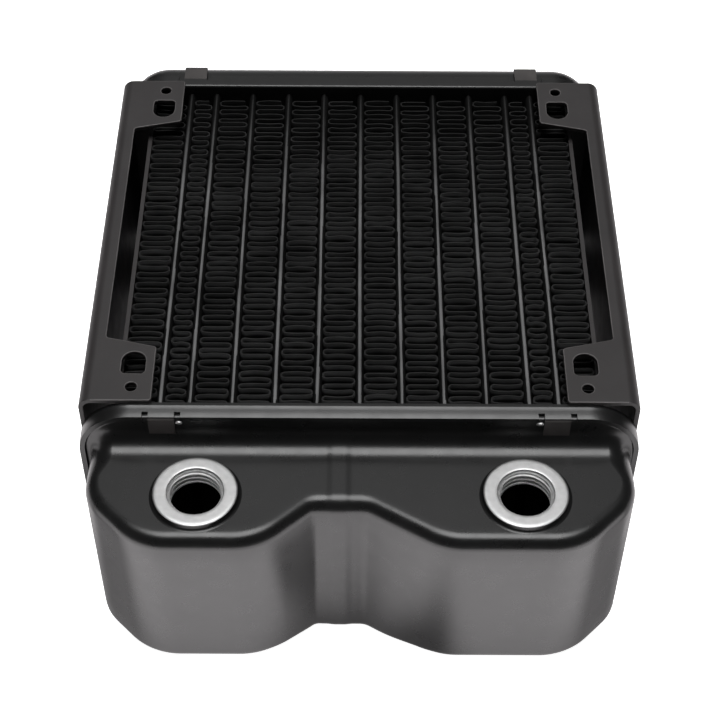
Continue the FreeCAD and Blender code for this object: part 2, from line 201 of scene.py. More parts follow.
# Light: one overhead softbox, a panel behind the object, and what the paint sees in place of the floor
OVERHEAD_POWER = 3.0
OVERHEAD_ANGLE = 38.0
FLOOR_REACH = 9.0            # metres, as all the stage's sizes
FLOOR_DROP = 0.0003
CARD_DROP = 0.0002
BACKDROP_R = 8.0
BACKDROP_HEIGHT = 10.0
FLOOR_GLOW = 1.0
BACKDROP_GLOW = 1.5
CARD_LEVELS = {"sides": 0.5, "edge": 2.4, "front": 2.9, "far": 0.12, "wings": 1.6, "behind": 1.2}
CARD_GAP_SHADE = (12.5, -80.0)
CARD_GAP_STRETCH = 0.65      # the shaded patch is longer towards the front
CARD_GAP_REACH = (3.0, 19.0)
CARD_GAP_LEVEL = 0.35
CARD_WINGS = (70.0, 110.0)
CARD_WINGS_REAR = (-64.0, -48.0)
CARD_EDGE = (-73.0, -91.0)
CARD_FRONT = (-90.0, -106.0)
CARD_FAR = (-200.0, -270.0)
CARD_BEHIND = (60.0, 90.0)
STUDIO_DIM = 0.01
PANEL_TURN = -3.0            # degrees of azimuth away from straight behind
# The panel's levels by the cosine of the azimuth away from its middle, and by the sine of the elevation
PANEL_ACROSS = [(0.88, 0.0), (0.978, 1.0)]
PANEL_UPWARDS = [(0.0, 0.4), (0.3, 0.5), (0.6, 0.36), (0.69, 0.3), (0.77, 1.45), (0.88, 0.85)]

# Camera: degrees and metres
CAMERA_PITCH = 48.67
CAMERA_ROLL = 0.372
CAMERA_YAW = 0.12
CAMERA_PLACE = (-0.00047, -0.29687, 0.36281)
CAMERA_LENS = 85.48


def node_box(node):
    """Lowest and highest corner of a CAD node, in millimetres."""
    low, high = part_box(node)
    return low / MM, high / MM


def smooth_step(t):
    t = min(1.0, max(0.0, t))
    return t * t * (3 - 2 * t)


# ---------------------------------------------------------------- mesh helpers

def finish_piece(obj, materials, replaced=()):
    """Shades a piece, gives it its materials and ties it to the frame."""
    mesh = obj.data
    for polygon in mesh.polygons:
        polygon.use_smooth = True
    mesh.set_sharp_from_angle(angle=SMOOTH_ANGLE)
    mesh.materials.clear()
    for material in materials:
        mesh.materials.append(material)
    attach(obj, BODY)
    if replaced:
        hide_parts(*replaced)
    return obj


def new_object(name, mesh):
    obj = bpy.data.objects.new(name, mesh)
    bpy.context.scene.collection.objects.link(obj)
    return obj


def mesh_from(name, points, faces):
    """Mesh in metres from points in millimetres, with doubled points joined."""
    mesh = bpy.data.meshes.new(name)
    mesh.from_pydata([Vector(p) * MM for p in points], [], faces)
    bm = bmesh.new()
    bm.from_mesh(mesh)
    bmesh.ops.remove_doubles(bm, verts=bm.verts, dist=0.002 * MM)
    bmesh.ops.dissolve_degenerate(bm, edges=bm.edges, dist=0.001 * MM)
    bmesh.ops.recalc_face_normals(bm, faces=bm.faces)
    bm.to_mesh(mesh)
    bm.free()
    mesh.validate()
    return mesh


def mesh_from_bmesh(name, bm):
    mesh = bpy.data.meshes.new(name)
    bm.to_mesh(mesh)
    bm.free()
    return mesh


def apply_modifiers(obj):
    depsgraph = bpy.context.evaluated_depsgraph_get()
    evaluated = bpy.data.meshes.new_from_object(obj.evaluated_get(depsgraph))
    evaluated.name = obj.data.name
    obj.modifiers.clear()
    obj.data = evaluated


def strip_faces(loops, closed):
    """Quads between neighbouring loops of point numbers of equal length."""
    faces = []
    for low, high in zip(loops, loops[1:]):
        count = len(low)
        for i in range(count if closed else count - 1):
            j = (i + 1) % count
            faces.append((low[i], low[j], high[j], high[i]))
    return faces


def even_shading(obj):
    """Flat faces stay flat up to their rounded edges."""
    weighted = obj.modifiers.new("weighted", "WEIGHTED_NORMAL")
    weighted.keep_sharp = True
    weighted.weight = 80
    apply_modifiers(obj)


def softened_copy(name, node, width, materials, reshape=None, second=None, clamp=True):
    """Copy of a CAD node with its sheet edges slightly rounded, standing for that node.

    reshape changes its mesh, and faces for which second is true get the second material.
    """
    mesh = frame["nodes"][node].data.copy()
    mesh.name = name
    bm = bmesh.new()
    bm.from_mesh(mesh)
    bmesh.ops.remove_doubles(bm, verts=bm.verts, dist=0.0005 * MM)
    bmesh.ops.dissolve_limit(bm, angle_limit=FLAT_ANGLE, verts=bm.verts, edges=bm.edges)
    sharp = [e for e in bm.edges if len(e.link_faces) == 2 and e.calc_face_angle() > SHARP_ANGLE]
    bmesh.ops.bevel(bm, geom=sharp, offset=width * MM, offset_type="OFFSET", segments=2, profile=0.5,
                    affect="EDGES", clamp_overlap=clamp)
    if reshape:
        reshape(bm)
    bm.to_mesh(mesh)
    bm.free()
    mesh.validate()
    obj = finish_piece(new_object(name, mesh), materials, [node])
    even_shading(obj)
    for polygon in obj.data.polygons:
        if second and second(polygon.center / MM, polygon.normal):
            polygon.material_index = 1
    return obj


def lean_inwards(bm, start_y, slopes, step, shorten=0.0):
    """Bends a rim's upper and lower walls inwards beyond start_y, with one slope for each step."""
    side = math.copysign(1, step)
    drops = [0.0]
    for slope in slopes:
        drops.append(drops[-1] + slope * abs(step))
    for k in range(len(slopes)):
        cut_y = start_y + step * k
        bmesh.ops.bisect_plane(bm, geom=bm.verts[:] + bm.edges[:] + bm.faces[:], dist=0.0001 * MM,
                               plane_co=(0, cut_y * MM, 0), plane_no=(0, 1, 0))
    middle_z = HALF_THICKNESS * MM
    length = abs(step) * len(slopes)
    for vert in bm.verts:
        s = (vert.co.y / MM - start_y) * side
        if s <= 0:
            continue
        at = min(s, length) / abs(step)
        number = min(int(at), len(slopes) - 1)
        drop = drops[number] + (drops[number + 1] - drops[number]) * (at - number)
        vert.co.z = middle_z + (vert.co.z - middle_z) * (1 - drop / HALF_THICKNESS)
        vert.co.y -= side * shorten * min(s, length) / length * MM


# -------------------------------------------------------------- shader helpers

def set_inputs(node, inputs):
    """Puts a value, or another node's output, on each given input of a node."""
    for name, value in inputs.items():
        if isinstance(value, bpy.types.NodeSocket):
            node.id_data.links.new(value, node.inputs[name])
        else:
            node.inputs[name].default_value = value


def add_node(tree, kind, inputs, **settings):
    """New shader node, with its settings made before its inputs."""
    node = tree.nodes.new("ShaderNode" + kind)
    for name, value in settings.items():
        setattr(node, name, value)
    set_inputs(node, inputs)
    return node


def new_material(name, inputs):
    """Material whose shader has these inputs, with its node tree."""
    material = bpy.data.materials.new(name)
    material.use_nodes = True
    set_inputs(material.node_tree.nodes["Principled BSDF"], inputs)
    return material, material.node_tree


def object_place(tree):
    coordinates = tree.nodes.get("coordinates") or add_node(tree, "TexCoord", {}, name="coordinates")
    return coordinates.outputs["Object"]


def axis_of(tree, vector, axis):
    return add_node(tree, "SeparateXYZ", {"Vector": vector}).outputs[axis]


def noise(tree, scale, detail):
    inputs = {"Scale": scale, "Detail": detail, "Vector": object_place(tree)}
    return add_node(tree, "TexNoise", inputs).outputs["Fac"]


def arithmetic(tree, operation, *values):
    return add_node(tree, "Math", dict(enumerate(values)), operation=operation).outputs["Value"]


def vector_arithmetic(tree, operation, *values):
    return add_node(tree, "VectorMath", dict(enumerate(values)), operation=operation)


def map_range(tree, value, start, end, low=0.0, high=1.0, kind="LINEAR"):
    """Goes from low to high while value goes from start to end."""
    inputs = {"Value": value, "From Min": start, "From Max": end, "To Min": low, "To Max": high}
    return add_node(tree, "MapRange", inputs, interpolation_type=kind).outputs["Result"]


def smooth_range(tree, value, reach, low, high):
    """Goes smoothly from low to high while value passes through reach, which is in millimetres."""
    return map_range(tree, value, reach[0] * MM, reach[1] * MM, low, high, "SMOOTHSTEP")


def blend_colours(tree, factor, start, end):
    mix = add_node(tree, "Mix", {"A": start, "B": end, "Factor": factor}, data_type="RGBA")
    return mix.outputs["Result"]


def colour_ramp(tree, value, stops):
    """Colour at a value, between two or more stops of (position, colour)."""
    node = add_node(tree, "ValToRGB", {"Fac": value})
    elements = node.color_ramp.elements
    while len(elements) < len(stops):
        elements.new(0.5)
    for element, (position, colour) in zip(elements, stops):
        element.position = position
        element.color = (*colour, 1)
    return node.outputs["Color"]


def grey_ramp(tree, value, stops):
    return colour_ramp(tree, value, [(position, (level, level, level)) for position, level in stops])


def bumps(tree, height, depth, strength, **under):
    """Normal of a surface with bumps of a depth in millimetres, over another normal if one is given."""
    inputs = {"Height": height, "Distance": depth * MM, "Strength": strength, **under}
    return add_node(tree, "Bump", inputs).outputs["Normal"]


# ------------------------------------------------------------------- materials

def paint(name, colour, roughness, grain, grain_depth, mottle=0.15, peel=0.0, specular=0.4):
    """Black paint: mottled colour, uneven gloss, fine grain and a longer orange peel (lengths in mm)."""
    material, tree = new_material(name, {"Specular IOR Level": specular})
    dark = (*[c * (1 - mottle) for c in colour], 1)
    light = (*[c * (1 + mottle) for c in colour], 1)
    patches = map_range(tree, noise(tree, MOTTLE_SCALE, 4), *NOISE_MIDDLE)
    gloss = map_range(tree, noise(tree, GLOSS_SCALE, 3), *NOISE_MIDDLE, roughness * 0.9, roughness * 1.1)
    under = {"Normal": bumps(tree, noise(tree, PEEL_SCALE, 1), peel, 0.5)} if peel else {}
    set_inputs(tree.nodes["Principled BSDF"], {
        "Base Color": blend_colours(tree, patches, dark, light),
        "Roughness": gloss,
        "Normal": bumps(tree, noise(tree, 1000 / grain, 2), grain_depth, 0.6, **under)})
    return material


def painted_highlight_crest(name):
    """Painted highlight along a tube's edge, giving way to painted shadow where the back pan shades it."""
    material = paint(name, CREST_HIGHLIGHT_COLOUR, 0.4, 0.5, 0.03, mottle=0.35)
    tree = material.node_tree
    shader = tree.nodes["Principled BSDF"]
    crest_highlight = shader.inputs["Base Color"].links[0].from_socket
    rearwards = axis_of(tree, object_place(tree), "Y")
    fade = map_range(tree, rearwards, CREST_SHADOW_FADE[0] * MM, CREST_SHADOW_FADE[1] * MM)
    set_inputs(shader, {"Base Color": blend_colours(tree, fade, crest_highlight, CREST_BACK_PAN_SHADOW)})
    return material


def foil_with_painted_light(name):
    """Foil with painted light on its walls near the core's faces, painted shade deeper in, and painted shadow
    towards the back pan.
    """
    material = paint(name, FIN_LIT_COLOUR, 0.7, 0.3, 0.01, mottle=0.35, specular=0.2)
    tree = material.node_tree
    shader = tree.nodes["Principled BSDF"]
    lit_colour = shader.inputs["Base Color"].links[0].from_socket
    rearwards = axis_of(tree, object_place(tree), "Y")
    height = axis_of(tree, object_place(tree), "Z")
    from_middle = arithmetic(tree, "ABSOLUTE", arithmetic(tree, "SUBTRACT", height, HALF_THICKNESS * MM))
    thickness = smooth_range(tree, rearwards, FIN_BACK_SHADOW_REACH, 1.0, FIN_LIGHT_AT_BACK)
    painted_light = smooth_range(tree, from_middle, FIN_LIGHT_REACH, 0.0, thickness)
    set_inputs(shader, {"Base Color": blend_colours(tree, painted_light, FIN_SHADE_COLOUR, lit_colour)})
    return material


def turned_metal(name, dark, light, roughness):
    """Bare machined metal: satin, with fine grain and faint cloudy tone."""
    material, tree = new_material(name, {"Metallic": 1.0})
    cloud = noise(tree, CLOUD_SCALE, 5)
    set_inputs(tree.nodes["Principled BSDF"], {
        "Base Color": grey_ramp(tree, cloud, [(0.3, dark), (0.7, light)]),
        "Roughness": map_range(tree, cloud, 0.0, 1.0, roughness - 0.03, roughness + 0.03),
        "Normal": bumps(tree, cloud, 0.012, 0.3)})
    return material


def bare_brass(name):
    """Unpainted brass sheet inside the tank, dulled by soldering."""
    material, tree = new_material(name, {"Metallic": 1.0, "Roughness": 0.45})
    tones = [(0.0, (0.20, 0.13, 0.06)), (1.0, (0.62, 0.46, 0.22))]
    stained = colour_ramp(tree, noise(tree, STAIN_SCALE, 6), tones)
    set_inputs(tree.nodes["Principled BSDF"], {"Base Color": stained})
    return material


# Each paint: name, colour, roughness, size and depth of the grain
TANK_PAINT = paint("tank_paint_satin", (0.0075, 0.0075, 0.0076), 0.29, 0.25, 0.010, peel=0.014)
PAN_PAINT = paint("header_paint_satin", (0.0085, 0.0085, 0.0086), 0.33, 0.3, 0.012, peel=0.02)
# crimp tabs: lighter and rougher than the pans' paint
TAB_PAINT = paint("tab_paint_lighter", (0.040, 0.036, 0.035), 0.55, 0.35, 0.04, mottle=0.4)
PLATE_PAINT = paint("plate_paint_matt", (0.0215, 0.0190, 0.0192), 0.5, 0.35, 0.03)
# painted highlight on the rounded cut edges of the fan ears
EAR_EDGE_HIGHLIGHT = paint("plate_edge_painted_highlight", (0.085, 0.079, 0.079), 0.5, 0.35, 0.03, mottle=0.3)
# painted light and painted shade on the fin walls
FIN_WALL_PAINTED_LIGHT = foil_with_painted_light("fin_wall_painted_light")
FIN_EDGE_PAINT = paint("fin_edge_paint", (0.015, 0.015, 0.015), 0.6, 0.3, 0.01, mottle=0.3, specular=0.1)
TUBE_PAINT = paint("tube_paint", (0.006, 0.006, 0.006), 0.5, 0.5, 0.03, mottle=0.3, specular=0.15)
# painted highlight along the tube crests, with painted shadow near the back pan
TUBE_CREST_HIGHLIGHT = painted_highlight_crest("tube_crest_painted_highlight")
PORT_METAL = turned_metal("port_metal_turned", 0.43, 0.50, 0.46)
BORE_METAL = turned_metal("port_bore_metal", 0.7, 0.9, 0.62)
BRASS = bare_brass("inner_brass_dull")


# ------------------------------------------------------------------- port tank

def outline_end(corner, neighbour, is_start):
    """The path's first or last point, with the normal of the run that it ends."""
    along = (neighbour - corner) if is_start else (corner - neighbour)
    return [(corner, Vector((along.y, -along.x)).normalized())]


def outline_arc(before, corner, after, radius):
    """Points and outward normals of the arc that rounds a corner."""
    back = (before - corner).normalized()
    ahead = (after - corner).normalized()
    half = back.angle(ahead) / 2
    tangent = radius / math.tan(half)
    bisector = (back + ahead).normalized()
    centre = corner + bisector * (radius / math.sin(half))
    start = corner + back * tangent - centre
    end = corner + ahead * tangent - centre
    sweep = start.angle_signed(end)
    steps = max(4, round(abs(sweep) * (radius + EDGE_R) / ARC_STEP))
    convex = 1 if sweep < 0 else -1
    arc = []
    for k in range(steps + 1):
        radial = start.copy()
        radial.rotate(Matrix.Rotation(-sweep * k / steps, 2))
        arc.append((centre + radial, radial.normalized() * convex))
    return arc


def rounded_path(corners):
    """Points and outward normals along an open path of (x, y, radius) corners, material on its left."""
    places = [Vector(corner[:2]) for corner in corners]
    samples = []

    def add(point, normal):
        if not samples or (samples[-1][0] - point).length > 1e-6:
            samples.append((point, normal))

    for i, (corner, (_, _, radius)) in enumerate(zip(places, corners)):
        if radius == 0:
            turn = outline_end(corner, places[1] if i == 0 else places[-2], i == 0)
        else:
            turn = outline_arc(places[i - 1], corner, places[i + 1], radius)
        if samples:
            line_start = samples[-1][0]
            line_end = turn[0][0]
            beside_rib = abs((line_start.x + line_end.x) / 2 - RIB_X) < RIB_ZONE
            pieces = max(1, round((line_end - line_start).length / (RIB_STEP if beside_rib else LINE_STEP)))
            for k in range(1, pieces):
                add(line_start.lerp(line_end, k / pieces), turn[0][1])
        for point, normal in turn:
            add(point, normal)
    return samples


def tank_outline(front_y):
    """Path round both lobes and the waist, between the ends of the two straight sides."""
    side = TANK_HALF_WIDTH
    waist_y = front_y + WAIST_DEPTH
    corner_y = front_y + LOBE_CUT
    side_y = corner_y + SIDE_CORNER_R * math.tan(math.radians(22.5))
    return rounded_path([
        (-side, side_y, 0), (-side, corner_y, SIDE_CORNER_R), (-side + LOBE_CUT, front_y, FRONT_CORNER_R),
        (LEFT_LOBE_X, front_y, WAIST_SHOULDER_R), (WAIST_LEFT_X, waist_y, WAIST_LEFT_R),
        (WAIST_RIGHT_X, waist_y, WAIST_RIGHT_R), (RIGHT_LOBE_X, front_y, WAIST_SHOULDER_R),
        (side - LOBE_CUT, front_y, FRONT_CORNER_R), (side, corner_y, SIDE_CORNER_R), (side, side_y, 0)])


def rib_height(x):
    return RIB_PROUD * smooth_step((RIB_HALF + RIB_SOFT / 2 - abs(x - RIB_X)) / RIB_SOFT)


def corner_cove(number):
    """Cove radius at a section strip's point: small beside the wall, full at shelf and underside."""
    from_wall = max(number - FILLET_STEPS - WALL_ROWS, FILLET_STEPS - number, 0) / FILLET_STEPS
    middle_r = COVE_R if number > FILLET_STEPS else COVE_BOTTOM_R
    return COVE_SIDE_R + (middle_r - COVE_SIDE_R) * smooth_step(from_wall) ** COVE_EASE


def wall_direction(number, sign):
    """Outward direction in XZ of a section strip's point on the right (1) or left (-1) side."""
    if number <= FILLET_STEPS:
        a = QUARTER * number / FILLET_STEPS
        return Vector((sign * math.sin(a), -math.cos(a)))
    if number < FILLET_STEPS + WALL_ROWS:
        return Vector((sign, 0))
    a = QUARTER * (number - FILLET_STEPS - WALL_ROWS) / FILLET_STEPS
    return Vector((sign * math.cos(a), math.sin(a)))


def rim_hit(origin, direction, half_width, z0, z1, radius):
    """Where a ray in the XZ plane leaves a rounded rectangle, and the outline's normal there."""
    middle = (z0 + z1) / 2

    def past_corner(point):
        dx = max(0.0, abs(point.x) - (half_width - radius))
        dz = max(0.0, abs(point.y - middle) - ((z1 - z0) / 2 - radius))
        return dx, dz

    inner = 0.0
    outer = RAY_LENGTH
    for _ in range(RAY_HALVINGS):
        tried = (inner + outer) / 2
        if math.hypot(*past_corner(origin + direction * tried)) > radius:
            outer = tried
        else:
            inner = tried
    hit = origin + direction * inner
    dx, dz = past_corner(hit)
    normal = Vector((math.copysign(dx, hit.x), math.copysign(dz, hit.y - middle)))
    if normal.length < 1e-6:
        normal = direction.copy()
    return hit, normal.normalized()


def tank_skin_mesh():
    """Outer skin of the pressed port tank, from the shelf round the lobes to flange and skirt."""
    tank_low, tank_high = node_box("front_tank")
    skirt_y = tank_high.y
    flange_y = skirt_y - (PAN_DEPTH - PAN_SHEET) + LIP_PROUD
    neck_y = flange_y - COVE_SIDE_R
    path = tank_outline(tank_low.y)
    side_y = path[0][0].y
    points = []

    def new_point(x, y, z):
        points.append((x, y, z))
        return len(points) - 1

    def waist_lean(x, y, z):
        """How far the pressing leans forward between the lobes, towards its bottom."""
        across = smooth_step(min(x - LEFT_LOBE_X, RIGHT_LOBE_X - x) / WAIST_LEAN_SIDES)
        along = smooth_step((flange_y - WAIST_LEAN_REAR[0] - y) / WAIST_LEAN_REAR[1])
        return WAIST_LEAN * across * along * (TANK_TOP - z) / (TANK_TOP - TANK_BOTTOM)

    def add(x, y, z, normal):
        """Point of the pressing, with its rib, its narrower left half and its lean."""
        lift = rib_height(x)
        if x < 0:
            x *= TANK_LEFT_HALF / TANK_HALF_WIDTH
        y_leaning = y + normal[1] * lift - waist_lean(x, y, z)
        return new_point(x + normal[0] * lift, y_leaning, z + normal[2] * lift)

    def section(point, normal, radius):
        """Strip from the underside's rounding, up the wall, over the shelf's rounding."""
        strip = []
        for k in range(FILLET_STEPS + 1):
            sine = math.sin(QUARTER * k / FILLET_STEPS)
            cosine = math.cos(QUARTER * k / FILLET_STEPS)
            inset = radius * (1 - sine)
            z = TANK_BOTTOM + radius * (1 - cosine)
            strip.append(add(point.x - normal.x * inset, point.y - normal.y * inset, z,
                             (normal.x * sine, normal.y * sine, -cosine)))
        low = TANK_BOTTOM + radius
        high = TANK_TOP - radius
        for k in range(1, WALL_ROWS):
            strip.append(add(point.x, point.y, low + (high - low) * k / WALL_ROWS, (normal.x, normal.y, 0)))
        for k in range(FILLET_STEPS + 1):
            sine = math.sin(QUARTER * k / FILLET_STEPS)
            cosine = math.cos(QUARTER * k / FILLET_STEPS)
            inset = radius * (1 - cosine)
            z = TANK_TOP - radius * (1 - sine)
            strip.append(add(point.x - normal.x * inset, point.y - normal.y * inset, z,
                             (normal.x * cosine, normal.y * cosine, sine)))
        return strip

    def side_wall(sign):
        """Section strips along a straight side, from the lobe's corner to the cove before the flange."""
        strips = []
        for k in range(DECK_ROWS + 1):
            radius = EDGE_R + (NECK_R - EDGE_R) * smooth_step(k / DECK_ROWS)
            y = side_y + (neck_y - side_y) * k / DECK_ROWS
            strip = section(Vector((sign * TANK_HALF_WIDTH, y)), Vector((sign, 0)), radius)
            for number, index in enumerate(strip):
                px, py, pz = points[index]
                points[index] = (px, py - (corner_cove(number) - COVE_SIDE_R) * k / DECK_ROWS, pz)
            strips.append(strip)
        return strips

    def deck(z, up, middle_r):
        """Flat grid between the front rounding and the cove, as columns of point numbers."""
        columns = []
        for point, normal in path:
            inner = point - normal * EDGE_R
            end_x = inner.x * (TANK_HALF_WIDTH - NECK_R) / (TANK_HALF_WIDTH - EDGE_R)
            end_y = flange_y - middle_r
            column = []
            for k in range(DECK_ROWS + 1):
                x = inner.x + (end_x - inner.x) * smooth_step(k / DECK_ROWS)
                y = inner.y + (end_y - inner.y) * k / DECK_ROWS
                column.append(add(x, y, z, (0, 0, up)))
            columns.append(column)
        return columns

    front = [section(point, normal, EDGE_R) for point, normal in path]
    left = side_wall(-1)
    right = side_wall(1)
    top = deck(TANK_TOP, 1, COVE_R)
    bottom = deck(TANK_BOTTOM, -1, COVE_BOTTOM_R)
    faces = []
    for strips in (front, left, right, top, bottom):
        faces += strip_faces(strips, closed=False)

    # Neck: closed loop round the body's rear, with each point's outward direction in the section
    inner_numbers = range(1, len(front[0]) - 1)
    neck = [(Vector(points[column[-1]]), Vector((0, 1))) for column in top]
    neck += [(Vector(points[right[-1][k]]), wall_direction(k, 1)) for k in reversed(inner_numbers)]
    neck += [(Vector(points[column[-1]]), Vector((0, -1))) for column in reversed(bottom)]
    neck += [(Vector(points[left[-1][k]]), wall_direction(k, -1)) for k in inner_numbers]

    loops = []
    for k in range(COVE_STEPS + 1):
        b = QUARTER * k / COVE_STEPS
        loop = []
        for point, direction in neck:
            radius = flange_y - point.y
            out = radius * (1 - math.cos(b))
            loop.append(new_point(point.x + direction.x * out, point.y + radius * math.sin(b),
                                  point.z + direction.y * out))
        loops.append(loop)

    # Flange out to the pan's rim, bend and skirt
    half = tank_high.x
    corner_r = PAN_CORNER_R - (PAN_HALF_WIDTH - half)
    outline = []
    for index, (_, direction) in zip(loops[-1], neck):
        x, _, z = points[index]
        outline.append(rim_hit(Vector((x, z)), direction, half, tank_low.z, tank_high.z, corner_r))
    hem = []
    for k in range(BEND_STEPS + 1):
        a = QUARTER * k / BEND_STEPS
        hem.append((FLANGE_BEND_R * (1 - math.sin(a)), flange_y + FLANGE_BEND_R * (1 - math.cos(a))))
    hem.append((0.0, skirt_y))
    for inset, y in hem:
        bent = [hit - normal * inset for hit, normal in outline]
        loops.append([new_point(place.x, y, place.y) for place in bent])
    faces += strip_faces(loops, closed=True)
    return mesh_from("port_tank", points, faces)


def port_cutter(mount):
    """Cylinder that cuts a port's hole in the shelf."""
    bm = bmesh.new()
    x, y, _ = mount["pos_m"]
    bmesh.ops.create_cone(bm, cap_ends=True, segments=RING_SEGMENTS, radius1=SPIGOT_R * MM,
                          radius2=SPIGOT_R * MM, depth=CUTTER_DEPTH * MM,
                          matrix=Matrix.Translation((x, y, TANK_TOP * MM)))
    return new_object("cutter", mesh_from_bmesh("cutter", bm))


def build_port_tank():
    mesh = tank_skin_mesh()
    obj = new_object("port_tank", mesh)
    foremost = min(mesh.polygons, key=lambda f: f.center.y)
    if foremost.normal.y > 0:
        mesh.flip_normals()
    solidify = obj.modifiers.new("sheet", "SOLIDIFY")
    solidify.thickness = TANK_SHEET * MM
    solidify.offset = -1
    ports = [mount for mount in frame["record"]["mounts"] if mount["kind"] == "threaded_hole"]
    cutters = [port_cutter(port) for port in ports]
    for cutter in cutters:
        hole = obj.modifiers.new("hole", "BOOLEAN")
        hole.operation = "DIFFERENCE"
        hole.solver = "EXACT"
        hole.object = cutter
    apply_modifiers(obj)
    for cutter in cutters:
        bpy.data.objects.remove(cutter)
    finish_piece(obj, [TANK_PAINT], ["front_tank"])


# ------------------------------------------------------------------ port bungs

def build_port_bung(name, node):
    """Turned ring with a chamfered mouth and a cut G1/4 thread: bare on its face, painted on its side."""
    low, high = node_box(node)
    centre = (low + high) / 2
    top = high.z
    bottom = low.z
    mouth = top - MOUTH_DEPTH
    points = []
    loops = []

    def ring(radius_at, z):
        loop = []
        for i in range(RING_SEGMENTS):
            angle = 2 * math.pi * i / RING_SEGMENTS
            radius = radius_at(angle)
            points.append((centre.x + radius * math.cos(angle), centre.y + radius * math.sin(angle), z))
            loop.append(len(points) - 1)
        loops.append(loop)

    outer = [(SPIGOT_R, bottom), (SPIGOT_R, TANK_TOP - SPIGOT_GAP)]
    outer += [(RING_R + out, TANK_TOP + up) for out, up in RING_FOOT]
    outer += [(RING_R + out, top + up) for out, up in RING_SHOULDER]
    outer += [(radius, top + up) for radius, up in RING_FACE]
    for radius, z in outer:
        ring(lambda angle, r=radius: r, z)
    for k in range(THREAD_ROWS + 1):
        z = mouth + (bottom - mouth) * k / THREAD_ROWS

        def thread(angle, z=z):
            phase = (z / THREAD_PITCH - angle / (2 * math.pi)) % 1.0
            wave = 0.5 - 0.5 * math.cos(2 * math.pi * phase)
            flattened = smooth_step(wave * (1 + 2 * THREAD_FLAT) - THREAD_FLAT)
            depth = THREAD_DEPTH * flattened * smooth_step((z - bottom) / THREAD_RUNOUT)
            opened = MOUTH_R - (MOUTH_R - THREAD_MINOR_R) * smooth_step((mouth - z) / MOUTH_LENGTH)
            return max(min(THREAD_MINOR_R + depth, MOUTH_R + (mouth - z)), opened)

        ring(thread, z)
    loops.append(loops[0])
    mesh = mesh_from(name, points, strip_faces(loops, closed=True))
    finish_piece(new_object(name, mesh), [PORT_METAL, TANK_PAINT, BORE_METAL], [node])
    for polygon in mesh.polygons:
        place = polygon.center / MM
        radius = math.hypot(place.x - centre.x, place.y - centre.y)
        outside = radius > PAINTED_FROM_R or place.z < PAINTED_BELOW and radius > FACE_FROM_R
        inside = radius < BORE_R and place.z < top - BORE_DEPTH
        polygon.material_index = 1 if outside else 2 if inside else 0


def build_solder_drop(name, side):
    """Small bare drop of solder where a crimp tab's inner notch meets the tank flange."""
    low, high = node_box("front_header")
    beside_tab, behind_front, below_top = DROP_PLACE
    place = Vector((side * (TAB_X - TAB_WIDTH / 2 - beside_tab), low.y + behind_front, high.z - below_top))
    dice = random.Random(DROP_SEED + side)
    bm = bmesh.new()
    bmesh.ops.create_icosphere(bm, subdivisions=3, radius=1.0)
    swellings = [(Vector((dice.uniform(-1, 1), dice.uniform(-1, 1), dice.uniform(-1, 1))).normalized(),
                  dice.uniform(0.1, 0.3)) for _ in range(5)]
    for vert in bm.verts:
        direction = vert.co.normalized()
        swell = 1 + sum(size * max(0.0, direction.dot(axis)) ** 3 for axis, size in swellings)
        vert.co = (place + direction * Vector(DROP_HALF) * swell) * MM
    finish_piece(new_object(name, mesh_from_bmesh(name, bm)), [PORT_METAL])


# ------------------------------------------------------------------------ core

def fold_path(x0, x1, first_y, shift, bow):
    """Foil's path as (x, y, along), where along counts the walls and, between two, the part of the turn."""
    turn = FIN_PITCH / 2
    left = x0 + turn
    right = x1 - turn
    path = []
    for wall, wall_bow in enumerate(bow):
        y = first_y + wall * FIN_PITCH + shift[wall]
        start, end = (left, right) if wall % 2 == 0 else (right, left)
        outward = 1 if wall % 2 == 0 else -1
        for k in range(FIN_WALL_STEPS + 1):
            t = k / FIN_WALL_STEPS
            path.append((start + (end - start) * t, y + wall_bow * math.sin(math.pi * t), wall))
        if wall + 1 == len(bow):
            break
        following = first_y + (wall + 1) * FIN_PITCH + shift[wall + 1]
        for k in range(1, FIN_TURN_STEPS):
            a = math.pi * k / FIN_TURN_STEPS
            turn_y = (y + following) / 2 - (following - y) / 2 * math.cos(a)
            path.append((end + outward * turn * math.sin(a), turn_y, wall + k / FIN_TURN_STEPS))
    return path


